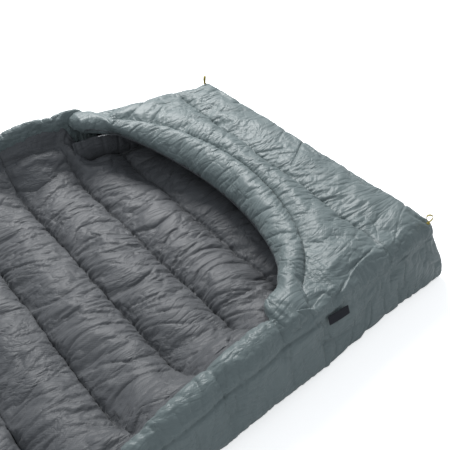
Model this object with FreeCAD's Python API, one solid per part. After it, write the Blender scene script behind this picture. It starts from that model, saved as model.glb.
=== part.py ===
import FreeCAD, Part
import math
import os

# Camp quilt laid out flat, lining side up, foot end towards +Y. Millimetres, +Z up.
# The origin is on the ground under the middle of the quilt.
# "reach" is a distance from the foot edge towards the head, measured along -Y.

# ---- driving dimensions ----
FOOT_WIDTH = 1000.0            # across the foot edge
FLARE = 0.09                   # each side runs out this much per unit of reach
CHAMBER_PITCH = 185.0          # between two transverse seams of the main panel
CHAMBER_COUNT = 11
FOLD_SEAM = 7                  # the head section folds over at this seam
LENGTH = CHAMBER_PITCH * CHAMBER_COUNT
FABRIC = 1.2                   # a shell or lining layer with its seam allowances
GAP = 0.3                      # clear space between neighbouring pieces
MESH = 0.6                     # thickness of a baffle wall
BAFFLE_ROOM = 1.0              # from a seam to the down on either side of it
LOFT_SEAM = 30.0               # height of the main panel at a seam
LOFT_CREST = 58.0              # height of the main panel in the middle of a chamber

BOX_REACH = 530.0              # the foot box ends here, at the notches
BOX_HEIGHT = 190.0             # top of the foot box, and of the side rolls beside it
PANEL_LOFT = 60.0              # thickness of the top panel and of the walls
TOP_UNDER = BOX_HEIGHT - PANEL_LOFT
TOP_SEAM_HEIGHT = 176.0        # top panel at its edges and its straight seam
TOP_SEAM_REACH = 150.0         # the straight puckered seam across the top panel
TOP_END_GAP = 12.0             # lets the tube's ends swing clear of the side rolls

TUBE_APEX_REACH = 245.0        # middle of the draft tube on the quilt's centre line
TUBE_END_HALF = 490.0          # middle of the draft tube at the notches, from the centre
TUBE_WIDTH = 92.0
TUBE_BOTTOM = 122.0
TUBE_TOP = 198.0
WALL_TOP = TUBE_BOTTOM - GAP    # walls' down and lining stop under the tube's ends

ROLL_WIDTH = 110.0             # side roll at its foot
ROLL_TOP_OUT = 22.0            # its top starts this far inside the outer edge
ROLL_TOP_IN = 72.0             # and ends this far inside it
ROLL_KNEE_REACH = 850.0        # the side roll falls faster past here
ROLL_KNEE_HEIGHT = 165.0
ROLL_LOW_HEIGHT = 70.0         # its height from the fold seam to the head
HEM_WIDTH = 32.0
HEM_HEIGHT = 50.0

RIBBON_WIDTH = 7.0
RIBBON_THICKNESS = 1.2
LOOP_HEIGHT = 26.0
LOOP_RADIUS = 8.0
LOOP_INSET = 12.0              # loop root from both edges of the corner
LOOP_ROOT_HEIGHT = TOP_SEAM_HEIGHT + 8.0
TACK_SIZE = 9.0
TACK_THICKNESS = 2.0

LABEL_LENGTH = 65.0
LABEL_DROP = 20.0
LABEL_THICKNESS = 0.8
LABEL_REACH = 360.0            # its edge nearer to the foot
LABEL_TOP = 147.0

MOUTH_HEM = 5.0                # side of the folded hem along the mouth of the foot box

FOOT_Y = LENGTH / 2.0
TOP_END_REACH = BOX_REACH - TOP_END_GAP
TOP_SEAMS = [FABRIC + 2 * GAP, TOP_SEAM_REACH, TOP_END_REACH]
FOLD_REACH = CHAMBER_PITCH * FOLD_SEAM
ZUP = FreeCAD.Vector(0, 0, 1)


def half(reach):
    """Half the quilt's width at this reach."""
    return FOOT_WIDTH / 2.0 + FLARE * reach


def at(x, reach, z):
    return FreeCAD.Vector(x, FOOT_Y - reach, z)


def face_of(points):
    return Part.Face(Part.makePolygon(points + points[:1]))


def prism(plan, z0, z1):
    """A vertical prism on a list of (x, reach) corners."""
    face = face_of([at(x, reach, z0) for x, reach in plan])
    return face.extrude(FreeCAD.Vector(0, 0, z1 - z0))


def trapezoid(reach0, reach1, inset):
    """Plan of a full-width strip whose sides follow the quilt's flare."""
    return [
        (-half(reach0) + inset, reach0),
        (half(reach0) - inset, reach0),
        (half(reach1) - inset, reach1),
        (-half(reach1) + inset, reach1),
    ]


def main_plan(reach0, reach1):
    """Plan of the main panel: full width in the foot box, between the rolls past it."""
    edge = FABRIC + 2 * GAP
    inner = ROLL_WIDTH + GAP
    if reach1 <= BOX_REACH:
        return trapezoid(reach0, reach1, edge)
    if reach0 >= BOX_REACH:
        return trapezoid(reach0, reach1, inner)
    right = [
        (half(reach0) - edge, reach0),
        (half(BOX_REACH) - edge, BOX_REACH),
        (half(BOX_REACH) - inner, BOX_REACH),
        (half(reach1) - inner, reach1),
    ]
    return right + [(-x, reach) for x, reach in reversed(right)]


def scalloped(seams, base, low, crest):
    """A solid wider than any panel, flat below, with one arc from each seam to the next."""
    first = seams[0]
    last = seams[-1]
    edges = []
    for start, end in zip(seams, seams[1:]):
        middle = at(0, (start + end) / 2.0, crest)
        edges.append(Part.Arc(at(0, start, low), middle, at(0, end, low)).toShape())
    edges.append(Part.makeLine(at(0, last, low), at(0, last, base)))
    edges.append(Part.makeLine(at(0, last, base), at(0, first, base)))
    edges.append(Part.makeLine(at(0, first, base), at(0, first, low)))
    solid = Part.Face(Part.Wire(edges)).extrude(FreeCAD.Vector(2 * LENGTH, 0, 0))
    solid.translate(FreeCAD.Vector(-LENGTH, 0, 0))
    return solid


def pillow(reach0, reach1, base, low, crest):
    return scalloped([reach0, reach1], base, low, crest)


def under_shell(reach0, reach1):
    return prism(trapezoid(reach0, reach1, 0.0), 0.0, FABRIC)


def lining(reach0, reach1):
    """The scalloped top layer of the main panel."""
    between = [CHAMBER_PITCH * index for index in range(1, CHAMBER_COUNT)]
    seams = [reach0] + [s for s in between if reach0 + 1.0 < s < reach1 - 1.0] + [reach1]
    top = scalloped(seams, FABRIC, LOFT_SEAM, LOFT_CREST)
    under = scalloped(seams, FABRIC, LOFT_SEAM - FABRIC, LOFT_CREST - FABRIC)
    return top.cut(under).common(prism(main_plan(reach0, reach1), 0.0, BOX_HEIGHT))


def down_chamber(reach0, reach1):
    """The down between two baffle walls."""
    start = reach0 + BAFFLE_ROOM
    end = reach1 - BAFFLE_ROOM
    skin = FABRIC + GAP
    solid = pillow(start, end, skin, LOFT_SEAM - skin, LOFT_CREST - skin)
    return solid.common(prism(main_plan(start, end), 0.0, BOX_HEIGHT))


def baffle(reach):
    """A mesh wall that ties the lining to the under shell along a seam."""
    plan = main_plan(reach - MESH / 2.0, reach + MESH / 2.0)
    return prism(plan, FABRIC + GAP, LOFT_SEAM - FABRIC - GAP)


def roll_section(side, reach, height, inset):
    """Section of a side roll: upright outside, flat-topped, sloping down to the lining."""
    outer = half(reach) - inset
    foot = half(reach) - ROLL_WIDTH + inset
    base = FABRIC + GAP + inset
    shape = [
        (outer, base),
        (outer, height - ROLL_TOP_OUT),
        (half(reach) - ROLL_TOP_OUT - inset / 2.0, height - inset),
        (half(reach) - ROLL_TOP_IN + inset / 2.0, height - inset),
        (foot, LOFT_SEAM - inset),
        (foot, base),
    ]
    return Part.makePolygon(
        [at(side * x, reach, z) for x, z in shape + shape[:1]]
    )


def roll_solid(side, stations, inset):
    """One roll through its (reach, height) stations, each run ruled to the next."""
    solid = None
    for near, far in zip(stations, stations[1:]):
        sections = [
            roll_section(side, near[0], near[1], inset),
            roll_section(side, far[0], far[1], inset),
        ]
        run = Part.makeLoft(sections, True, True)
        solid = run if solid is None else solid.fuse(run)
    return solid


def side_roll(side, stations):
    """Cover and fill of a side roll."""
    start = (stations[0][0] + FABRIC, stations[0][1])
    end = (stations[-1][0] - FABRIC, stations[-1][1])
    core = [start] + stations[1:-1] + [end]
    cover = roll_solid(side, stations, 0.0).cut(roll_solid(side, core, FABRIC))
    return cover, roll_solid(side, core, FABRIC + GAP)


def side_wall(side, depth0, depth1, z0, z1):
    """An upright layer along one side of the foot box, between two depths from the edge."""
    reach0 = 0.0 if depth1 <= FABRIC else FABRIC + GAP
    end = BOX_REACH - GAP
    plan = [
        (side * (half(reach0) - depth0), reach0),
        (side * (half(reach0) - depth1), reach0),
        (side * (half(end) - depth1), end),
        (side * (half(end) - depth0), end),
    ]
    return prism(plan, z0, z1)


def end_wall(reach0, reach1, inset, z0, z1):
    """An upright layer across the foot of the foot box."""
    return prism(trapezoid(reach0, reach1, inset), z0, z1)


def mouth_block(offset, z0, z1):
    """Half an ellipse in plan, open to the head at the notches, from z0 to z1.

    The draft tube's middle is its edge at offset 0, and a larger offset lies further out.
    """
    across = TUBE_END_HALF + offset
    along = TOP_END_REACH - TUBE_APEX_REACH + offset
    ellipse = Part.Ellipse(
        at(across, TOP_END_REACH, z0),
        at(0, TOP_END_REACH - along, z0),
        at(0, TOP_END_REACH, z0),
    )
    arc = Part.ArcOfEllipse(ellipse, 0, math.pi).toShape()
    start, end = [vertex.Point for vertex in arc.Vertexes]
    face = Part.Face(Part.Wire([arc, Part.makeLine(start, end)]))
    return face.extrude(FreeCAD.Vector(0, 0, z1 - z0))


def draft_tube(inset):
    """The draft tube's solid: a U-shaped band around the mouth."""
    out = TUBE_WIDTH / 2.0 - inset
    band = mouth_block(out, TUBE_BOTTOM + inset, TUBE_TOP - inset)
    hole = mouth_block(-out, 0.0, BOX_HEIGHT * 2.0)
    return band.cut(hole)


def top_plan_block(reach0, reach1):
    """A tall block on the plan of part of the top panel, just inside the wall shells."""
    return prism(trapezoid(reach0, reach1, FABRIC + 2 * GAP), 0.0, BOX_HEIGHT * 2.0)


def top_layer(base, low, crest, reach0, reach1):
    """Part of the top panel under one arc, outside the draft tube."""
    solid = pillow(reach0, reach1, base, low, crest)
    solid = solid.common(top_plan_block(reach0, reach1))
    return solid.cut(mouth_block(TUBE_WIDTH / 2.0 + GAP, 0.0, BOX_HEIGHT * 2.0))


def top_shell():
    """Outer layer of the top panel over both of its bands."""
    layers = []
    for reach0, reach1 in zip(TOP_SEAMS, TOP_SEAMS[1:]):
        top = top_layer(TOP_UNDER, TOP_SEAM_HEIGHT, BOX_HEIGHT, reach0, reach1)
        under = top_layer(
            TOP_UNDER, TOP_SEAM_HEIGHT - FABRIC, BOX_HEIGHT - FABRIC, reach0, reach1
        )
        layers.append(top.cut(under))
    return layers[0].fuse(layers[1])


def top_lining():
    plan = trapezoid(TOP_SEAMS[0], TOP_SEAMS[-1], FABRIC + 2 * GAP)
    block = prism(plan, TOP_UNDER, TOP_UNDER + FABRIC)
    return block.cut(mouth_block(TUBE_WIDTH / 2.0 + GAP, 0.0, BOX_HEIGHT * 2.0))


def top_fill(index):
    """The down in one band of the top panel, counted from the foot."""
    return top_layer(
        TOP_UNDER + FABRIC + GAP,
        TOP_SEAM_HEIGHT - FABRIC - GAP,
        BOX_HEIGHT - FABRIC - GAP,
        TOP_SEAMS[index] + BAFFLE_ROOM,
        TOP_SEAMS[index + 1] - BAFFLE_ROOM,
    )


def top_baffle():
    mesh = MESH / 2.0
    plan = trapezoid(TOP_SEAM_REACH - mesh, TOP_SEAM_REACH + mesh, FABRIC + 2 * GAP)
    return prism(plan, TOP_UNDER + FABRIC + GAP, TOP_SEAM_HEIGHT - FABRIC - GAP)


def mouth_hem():
    """Folded hem under the inner edge of the draft tube."""
    inner = -TUBE_WIDTH / 2.0
    top = TUBE_BOTTOM - GAP
    band = mouth_block(inner + MOUTH_HEM, top - MOUTH_HEM, top)
    return band.cut(mouth_block(inner, 0.0, BOX_HEIGHT))


def corner(side):
    """Root of a corner loop, on the top panel just inside the foot corner."""
    return at(side * (half(0.0) - LOOP_INSET), LOOP_INSET, LOOP_ROOT_HEIGHT)


def across_corner(side):
    """Unit vector pointing out of the corner, in plan."""
    return FreeCAD.Vector(side, 1.0, 0.0).normalize()


def corner_loop(side):
    """A teardrop of ribbon standing on edge in the corner's diagonal plane."""
    root = corner(side)
    out = across_corner(side)
    face = None
    for shrink in (0.0, RIBBON_THICKNESS):
        radius = LOOP_RADIUS - shrink
        middle = root + ZUP * (LOOP_HEIGHT - LOOP_RADIUS)
        start = root + ZUP * (1.0 + 4.0 * shrink)
        rise = (middle - start).Length
        spread = math.acos(radius / rise)
        right = middle + out * (radius * math.sin(spread)) - ZUP * (radius * math.cos(spread))
        left = middle - out * (radius * math.sin(spread)) - ZUP * (radius * math.cos(spread))
        crown = middle + ZUP * radius
        wire = Part.Wire([
            Part.makeLine(start, right),
            Part.Arc(right, crown, left).toShape(),
            Part.makeLine(left, start),
        ])
        ring = Part.Face(wire)
        face = ring if face is None else face.cut(ring)
    width = out.cross(ZUP) * RIBBON_WIDTH
    face.translate(width * -0.5)
    return face.extrude(width)


def loop_tack(side):
    """Bar-tacked patch under a corner loop."""
    root = corner(side)
    size = TACK_SIZE / 2.0
    plan = [
        (root.x - size, LOOP_INSET - size),
        (root.x + size, LOOP_INSET - size),
        (root.x + size, LOOP_INSET + size),
        (root.x - size, LOOP_INSET + size),
    ]
    return prism(plan, root.z - TACK_THICKNESS, root.z)


def label():
    """Blank woven label hanging from the near side seam."""
    face = half(LABEL_REACH + LABEL_LENGTH) + GAP
    plan = [
        (face, LABEL_REACH),
        (face + LABEL_THICKNESS, LABEL_REACH),
        (face + LABEL_THICKNESS, LABEL_REACH + LABEL_LENGTH),
        (face, LABEL_REACH + LABEL_LENGTH),
    ]
    return prism(plan, LABEL_TOP - LABEL_DROP, LABEL_TOP)


def head_hem(inset):
    reach0 = LENGTH - HEM_WIDTH + GAP + inset
    plan = trapezoid(reach0, LENGTH - inset, ROLL_WIDTH + GAP + inset)
    return prism(plan, FABRIC + GAP + inset, HEM_HEIGHT - inset)


def make_nodes():
    nodes = {}
    fold_before = FOLD_REACH - GAP
    fold_after = FOLD_REACH + GAP
    head_end = LENGTH - HEM_WIDTH
    nodes["shell_under_foot"] = under_shell(0.0, fold_before)
    nodes["shell_under_head"] = under_shell(fold_after, LENGTH)
    nodes["lining_foot"] = lining(FABRIC + GAP, fold_before)
    nodes["lining_head"] = lining(fold_after, head_end)
    for index in range(CHAMBER_COUNT):
        start = max(index * CHAMBER_PITCH, FABRIC + GAP)
        end = min((index + 1) * CHAMBER_PITCH, head_end)
        nodes["down_chamber_%02d" % (index + 1)] = down_chamber(start, end)
        if 0 < index != FOLD_SEAM:
            nodes["baffle_wall_%02d" % index] = baffle(index * CHAMBER_PITCH)

    middle = [
        (BOX_REACH + GAP, BOX_HEIGHT),
        (ROLL_KNEE_REACH, ROLL_KNEE_HEIGHT),
        (fold_before, ROLL_LOW_HEIGHT),
    ]
    head = [(fold_after, ROLL_LOW_HEIGHT), (LENGTH, ROLL_LOW_HEIGHT)]
    for name, side in (("near", 1.0), ("far", -1.0)):
        for part, stations in (("middle", middle), ("head", head)):
            cover, fill = side_roll(side, stations)
            nodes["roll_%s_%s_cover" % (part, name)] = cover
            nodes["roll_%s_%s_fill" % (part, name)] = fill
        inner = PANEL_LOFT - FABRIC
        nodes["side_wall_%s_shell" % name] = side_wall(
            side, 0.0, FABRIC, FABRIC + GAP, TOP_SEAM_HEIGHT
        )
        nodes["side_wall_%s_fill" % name] = side_wall(
            side, FABRIC + GAP, inner - GAP, LOFT_CREST + GAP, WALL_TOP
        )
        nodes["side_wall_%s_lining" % name] = side_wall(
            side, inner, PANEL_LOFT, LOFT_CREST + GAP, WALL_TOP
        )
        nodes["corner_loop_%s" % name] = corner_loop(side)
        nodes["loop_tack_%s" % name] = loop_tack(side)

    inner = PANEL_LOFT - FABRIC
    nodes["end_wall_shell"] = end_wall(
        0.0, FABRIC, FABRIC + GAP, FABRIC + GAP, TOP_SEAM_HEIGHT
    )
    nodes["end_wall_fill"] = end_wall(
        FABRIC + GAP, inner - GAP, PANEL_LOFT + GAP, LOFT_CREST + GAP, WALL_TOP
    )
    nodes["end_wall_lining"] = end_wall(
        inner, PANEL_LOFT, PANEL_LOFT + GAP, LOFT_CREST + GAP, WALL_TOP
    )

    nodes["top_shell"] = top_shell()
    nodes["top_lining"] = top_lining()
    nodes["top_fill_rear"] = top_fill(0)
    nodes["top_fill_front"] = top_fill(1)
    nodes["top_seam_baffle"] = top_baffle()
    nodes["draft_tube_cover"] = draft_tube(0.0).cut(draft_tube(FABRIC))
    nodes["draft_tube_fill"] = draft_tube(FABRIC + GAP)
    nodes["mouth_hem"] = mouth_hem()
    nodes["label"] = label()
    nodes["head_hem_cover"] = head_hem(0.0).cut(head_hem(FABRIC))
    nodes["head_hem_fill"] = head_hem(FABRIC + GAP)
    return nodes


os.makedirs("parts", exist_ok=True)
for name, shape in make_nodes().items():
    solid = shape.removeSplitter()
    print(name, len(solid.Solids), solid.isValid(), round(solid.Volume / 1000.0, 1))
    solid.exportStep("parts/%s.step" % name)
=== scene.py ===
# %% [markdown]
# A down camp quilt with a boxed foot
#
# The quilt lies open with its lining up. This file builds what an eye sees of it: cloth that is
# gathered along every seam and blown up between the seams by the down inside. Each piece is a
# surface worked out with numpy on a grid, and then let buckle a little as cloth, because thin nylon
# over down gets its looks from hundreds of small creases that nobody would draw by hand.

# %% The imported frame
import math
import bpy
import numpy as np
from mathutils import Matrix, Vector


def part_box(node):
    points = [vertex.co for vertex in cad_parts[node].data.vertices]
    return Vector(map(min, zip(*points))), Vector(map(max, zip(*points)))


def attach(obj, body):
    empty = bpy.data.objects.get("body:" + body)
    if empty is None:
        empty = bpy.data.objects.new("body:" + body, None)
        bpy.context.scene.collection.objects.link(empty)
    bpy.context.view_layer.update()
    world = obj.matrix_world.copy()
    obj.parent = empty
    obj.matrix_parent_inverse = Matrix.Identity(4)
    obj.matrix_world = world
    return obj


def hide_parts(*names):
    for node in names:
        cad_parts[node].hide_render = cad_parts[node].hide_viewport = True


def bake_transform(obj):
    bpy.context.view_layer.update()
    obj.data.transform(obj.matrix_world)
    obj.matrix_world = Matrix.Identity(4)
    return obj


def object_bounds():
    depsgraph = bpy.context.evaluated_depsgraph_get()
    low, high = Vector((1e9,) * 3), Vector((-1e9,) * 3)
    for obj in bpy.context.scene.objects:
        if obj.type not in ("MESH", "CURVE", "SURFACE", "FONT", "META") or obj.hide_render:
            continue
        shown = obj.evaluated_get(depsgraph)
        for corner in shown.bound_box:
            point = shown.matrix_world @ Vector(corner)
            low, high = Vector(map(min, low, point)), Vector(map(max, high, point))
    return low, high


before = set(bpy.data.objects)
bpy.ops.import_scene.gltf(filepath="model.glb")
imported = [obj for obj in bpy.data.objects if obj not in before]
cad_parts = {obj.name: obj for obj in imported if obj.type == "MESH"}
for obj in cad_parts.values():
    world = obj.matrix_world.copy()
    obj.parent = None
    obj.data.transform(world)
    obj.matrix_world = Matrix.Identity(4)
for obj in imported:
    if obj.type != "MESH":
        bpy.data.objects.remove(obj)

cad_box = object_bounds()
HEAD_HALF = cad_box[1][0]
FOOT_Y = cad_box[1][1]
LENGTH = cad_box[1][1] - cad_box[0][1]
FOOT_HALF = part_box("end_wall_shell")[1][0] + 0.0015
FLARE = (HEAD_HALF - FOOT_HALF) / LENGTH
CHAMBERS = sum(name.startswith("down_chamber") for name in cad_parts)
PITCH = LENGTH / CHAMBERS
FOLD_REACH = FOOT_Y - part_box("shell_under_foot")[0][1]
BOX_REACH = FOOT_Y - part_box("side_wall_near_shell")[0][1]
BOX_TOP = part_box("top_shell")[1][2]
UNDER_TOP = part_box("top_lining")[0][2]
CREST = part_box("lining_foot")[1][2]
SEAM_HEIGHT = 0.023
ROLL_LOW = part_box("roll_head_near_cover")[1][2]
print("quilt", round(LENGTH, 3), "m long,", round(2 * HEAD_HALF, 3), "m wide")
print("seams every", round(PITCH, 3), "m")


def half(reach):
    """Half the width at a distance from the foot edge: the sides run out evenly."""
    return FOOT_HALF + FLARE * reach


def smooth(a, b, x):
    """0 at a, 1 at b, and an even S between; a may be the larger one."""
    t = np.clip((x - a) / (b - a), 0.0, 1.0)
    return t * t * (3.0 - 2.0 * t)


# %% [markdown]
# The camera comes first. It stands at the near side of the quilt, a little past its middle, and
# looks down across the mouth of the foot box.

# %% Camera
CAMERA_PLACE = Vector((1.260, FOOT_Y - 1.274, 1.296))
CAMERA_AZIMUTH = math.radians(52.3)
CAMERA_TILT = math.radians(39.0)


def aim_camera():
    data = bpy.data.cameras.new("camera")
    data.sensor_width = 36.0
    data.lens = 54.9
    camera = bpy.data.objects.new("camera", data)
    bpy.context.collection.objects.link(camera)
    level = math.cos(CAMERA_TILT)
    back = Vector((
        math.sin(CAMERA_AZIMUTH) * level,
        -math.cos(CAMERA_AZIMUTH) * level,
        math.sin(CAMERA_TILT),
    ))
    camera.rotation_euler = back.to_track_quat("Z", "Y").to_euler()
    camera.location = CAMERA_PLACE
    bpy.context.scene.camera = camera


aim_camera()

# %% [markdown]
# Three small helpers serve every piece. The first makes smooth random fields, the second turns a
# grid of points into a mesh, and the third reads a pillow's rise between two seams.

# %% Random fields, grids and puffs
def drift(x, y, seed):
    """A smooth random field from -1 to 1: random values on a lattice, blended by a quintic."""
    table = np.random.default_rng(seed).uniform(-1.0, 1.0, (64, 64))
    x0 = np.floor(x).astype(int)
    y0 = np.floor(y).astype(int)
    fx = x - x0
    fy = y - y0
    sx = fx ** 3 * (fx * (6.0 * fx - 15.0) + 10.0)
    sy = fy ** 3 * (fy * (6.0 * fy - 15.0) + 10.0)
    low = table[x0 % 64, y0 % 64] * (1 - sx) + table[(x0 + 1) % 64, y0 % 64] * sx
    high = table[x0 % 64, (y0 + 1) % 64] * (1 - sx) + table[(x0 + 1) % 64, (y0 + 1) % 64] * sx
    return low * (1 - sy) + high * sy


def creases(across, along, width, run, seed):
    """Narrow valleys about width apart that run about run long, 1 on a crease and 0 between.

    A random field crosses zero along wandering lines, and one less its size peaks there.
    """
    bent = across / width + 0.35 * drift(across / width / 3.0, along / run, seed + 7)
    return (1.0 - np.abs(drift(bent, along / run, seed))) ** 3


def puff(t, fullness=0.55):
    """Height of a stuffed tube over its width, 0 at both seams and 1 in the middle."""
    return np.clip(4.0 * t * (1.0 - t), 0.0, 1.0) ** fullness


def faces_of(rows, columns, closed=False):
    """Quads of a grid of rows x columns points; closed joins the last column to the first."""
    index = np.arange(rows * columns).reshape(rows, columns)
    if closed:
        index = np.hstack([index, index[:, :1]])
    return np.stack(
        [index[:-1, :-1], index[1:, :-1], index[1:, 1:], index[:-1, 1:]], -1
    ).reshape(-1, 4)


def mesh_piece(name, points, faces, caps=()):
    """A smooth-shaded object from whole arrays, with unused points left out.

    faces is an array of quads, and each cap is a ring of point numbers that one flat face fills.
    """
    flat = np.asarray(points, float).reshape(-1, 3)
    used, renumbered = np.unique(faces, return_inverse=True)
    quads = renumbered.reshape(faces.shape)
    rings = [np.searchsorted(used, ring) for ring in caps]
    sizes = np.array([4] * len(quads) + [len(ring) for ring in rings])
    corners = np.concatenate([quads.ravel(), *rings])
    mesh = bpy.data.meshes.new(name)
    mesh.vertices.add(len(used))
    mesh.vertices.foreach_set("co", flat[used].ravel())
    mesh.loops.add(len(corners))
    mesh.loops.foreach_set("vertex_index", corners)
    mesh.polygons.add(len(sizes))
    mesh.polygons.foreach_set("loop_start", np.cumsum(sizes) - sizes)
    mesh.update(calc_edges=True)
    mesh.validate()
    mesh.shade_smooth()
    piece = bpy.data.objects.new(name, mesh)
    bpy.context.collection.objects.link(piece)
    return piece, used


def end_caps(stations, around):
    """The first and last rings of a closed sweep, turned so that both face outwards."""
    return [np.arange(around), np.arange(stations * around - 1, (stations - 1) * around - 1, -1)]


def pillow(name, upper, lower):
    """Closes two grids of one size into a body: the lower turned over, a band round the rim."""
    rows, columns = upper.shape[:2]
    index = np.arange(rows * columns).reshape(rows, columns)
    rim = np.concatenate([index[0, :-1], index[:-1, -1], index[-1, :0:-1], index[:0:-1, 0]])
    following = np.roll(rim, -1)
    band = np.stack([rim, following, following + index.size, rim + index.size], -1)
    quads = faces_of(rows, columns)
    faces = np.concatenate([quads, quads[:, ::-1] + index.size, band])
    return mesh_piece(name, np.stack([upper, lower]), faces)[0]


ROW_REACH = 0.004


def mark_stitches(piece, to_stitch, run, used=slice(None)):
    """Stores how near each point is to a row of stitches, 1 on it and 0 past ROW_REACH from it,
    and how far along the row it is."""
    near = np.clip(1 - np.abs(to_stitch) / ROW_REACH, 0.0, 1.0)
    layers = zip(("stitch_near", "stitch_run"), np.broadcast_arrays(near, run))
    for name, values in layers:
        layer = piece.data.attributes.new(name, "FLOAT", "POINT")
        layer.data.foreach_set("value", values.ravel()[used].astype(np.float32))


def place(x, reach, z):
    """Stacks x, distance from the foot edge and height into points of the frame."""
    x, reach, z = np.broadcast_arrays(x, reach, z)
    return np.stack([x, FOOT_Y - reach, z], -1)


# %% [markdown]
# Cloth gathers because it is cut larger than the space that the seams leave it. So each panel is
# given a little more cloth than it has room for, its seam rows are held still, and the air pressure
# of the down pushes from inside. A few steps of Blender's cloth then fold it the way nylon folds.

# %% Letting cloth buckle between its seams
waiting = []


def will_buckle(piece, held, growth, pressure, cap):
    """Puts a piece in the line for buckle_all: held marks the points that stay on a seam."""
    waiting.append((piece, np.asarray(held, bool), growth, pressure, cap))


CLOTH = {
    "quality": 4, "mass": 0.06, "air_damping": 3.0,
    "tension_stiffness": 18.0, "compression_stiffness": 18.0, "shear_stiffness": 8.0,
    "bending_stiffness": 0.012,
    "tension_damping": 6.0, "compression_damping": 6.0, "shear_damping": 6.0,
    "vertex_group_mass": "seams", "use_pressure": True,
}


def add_cloth(piece, held, growth, pressure):
    """Cloth on one piece: its held points pinned, and every thread longer by growth."""
    group = piece.vertex_groups.new(name="seams")
    group.add(np.flatnonzero(held).tolist(), 1.0, "REPLACE")
    cloth = piece.modifiers.new("buckle", "CLOTH")
    for name, value in CLOTH.items():
        setattr(cloth.settings, name, value)
    cloth.settings.shrink_min = -growth
    cloth.settings.uniform_pressure_force = pressure
    cloth.settings.effector_weights.gravity = 0.0
    cloth.collision_settings.use_collision = False
    return cloth


def buckle_all(steps=16):
    """Runs every waiting piece's cloth together, and keeps the result in the meshes."""
    if not waiting:
        return
    scene = bpy.context.scene
    made = [(piece, cap, add_cloth(piece, held, growth, pressure))
            for piece, held, growth, pressure, cap in waiting]
    for frame_number in range(1, steps + 1):
        scene.frame_set(frame_number)
    depsgraph = bpy.context.evaluated_depsgraph_get()
    for piece, cap, cloth in made:
        mesh = piece.data
        rest = np.empty(len(mesh.vertices) * 3)
        mesh.vertices.foreach_get("co", rest)
        moved = np.empty_like(rest)
        piece.evaluated_get(depsgraph).data.vertices.foreach_get("co", moved)
        rest = rest.reshape(-1, 3)
        shift = moved.reshape(-1, 3) - rest
        size = np.linalg.norm(shift, axis=1, keepdims=True)
        shift *= cap / np.maximum(np.maximum(size, cap), 1e-9)
        print(piece.name, "moved up to", round(float(size.max()) * 1000, 1), "mm")
        piece.modifiers.remove(cloth)
        mesh.vertices.foreach_set("co", (rest + shift).ravel())
        mesh.update()
    scene.frame_set(1)
    waiting.clear()


# %% [markdown]
# ## The shape of the body
#
# The side rolls are tall beside the foot box and fall away towards the head. The lining hangs
# between them like a hammock: flat in the middle, then up the inner face of each roll.

# %% Heights along the body
def roll_height(reach):
    """Top of a side roll: as tall as the foot box at its mouth, and low past the fold seam."""
    knots = [0.0, BOX_REACH, 0.85, FOLD_REACH, LENGTH]
    heights = [BOX_TOP, BOX_TOP, 0.165, ROLL_LOW, ROLL_LOW]
    return np.interp(reach, knots, heights)


def seam_fraction(reach):
    """Where a point lies between two seams of the main panel, from 0 to 1."""
    return np.mod(reach / PITCH, 1.0)


def far_spread(x, reach):
    """The far side lies a little further out beside the mouth than the near one."""
    splay = smooth(0.12, 0.55, reach) * (1 - smooth(0.95, 1.30, reach))
    return np.where(np.asarray(x) < 0, 0.044 * splay, 0.0)


def roll_width(x, reach):
    """Width of a roll's plump top: wide on the near side beside the mouth, narrow on the far."""
    beside = smooth(0.45, 0.60, reach) * (1 - smooth(0.62, 1.0, reach))
    return 0.054 + np.where(np.asarray(x) > 0, 0.020, -0.010) * beside


def lining_edge(x, reach):
    """How far out the lining reaches: to the wall in the box, under the roll's lip past it."""
    past = smooth(BOX_REACH - 0.05, BOX_REACH + 0.01, reach)
    inset = 0.060 + (roll_width(x, reach) - 0.008 - 0.060) * past
    return half(reach) + far_spread(x, reach) - inset


def lining_rise(reach):
    """How much higher the lining is at its edge than at its seams in the middle."""
    past = smooth(BOX_REACH - 0.06, BOX_REACH + 0.01, reach)
    return (1 - past) * 0.035 + past * (0.93 * roll_height(reach) - SEAM_HEIGHT)


def lining_height(x, reach):
    """A row of puffs across the quilt, whose ends round down short of each side.

    The puffs climb the inner face of each roll like a hammock, and stop at one long crease.
    """
    climb = np.clip((np.abs(x) - (lining_edge(x, reach) - 0.165)) / 0.165, 0.0, 1.0)
    t = seam_fraction(reach)
    wave = 0.012 * drift(x / 0.16, reach / 0.3, 3) * puff(t)
    rounded = puff(np.clip(t + wave, 0.0, 1.0), 0.50)
    plump = 1 + 0.12 * drift(x / 0.12, reach / PITCH, 4)
    body = (CREST - SEAM_HEIGHT) * rounded * plump * (1 - 0.92 * smooth(0.60, 0.84, climb))
    face = lining_rise(reach) * climb ** 2.1
    crease = 0.010 * np.exp(-(((climb - 0.84) / 0.035) ** 2))
    return SEAM_HEIGHT + body + face - crease


# %% [markdown]
# ## The lining
#
# Dark grey nylon, sewn down at every baffle. It is one panel in the real quilt and two pieces here,
# joined at a seam, the second one for the head section, which folds over. Gathers start at the
# needle holes, so the seam rows carry a quick ripple that the cloth then follows.

# %% Lining pieces
LINING_COLUMNS = 300
ROWS_A_CHAMBER = 46


def fan_of_creases(along, from_seam, seed, spacing=0.0125):
    """Creases that leave a seam at right angles and lean over slowly; 1 in a valley, 0 between.

    Two sizes of valley are added, and a slow field opens smooth patches among them.
    """
    lean = 0.55 * drift(along / 0.15, from_seam / 0.30, seed)
    across = along + lean * from_seam
    fine = creases(across, from_seam, spacing, 0.10, seed + 1)
    broad = creases(across + 0.25 * from_seam, from_seam, 2.2 * spacing, 0.16, seed + 2)
    patch = smooth(-0.5, 0.35, drift(along / 0.07, from_seam / 0.09, seed + 3))
    return 0.55 * fine * (0.25 + 0.75 * patch) + 0.55 * broad ** 1.5


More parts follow.
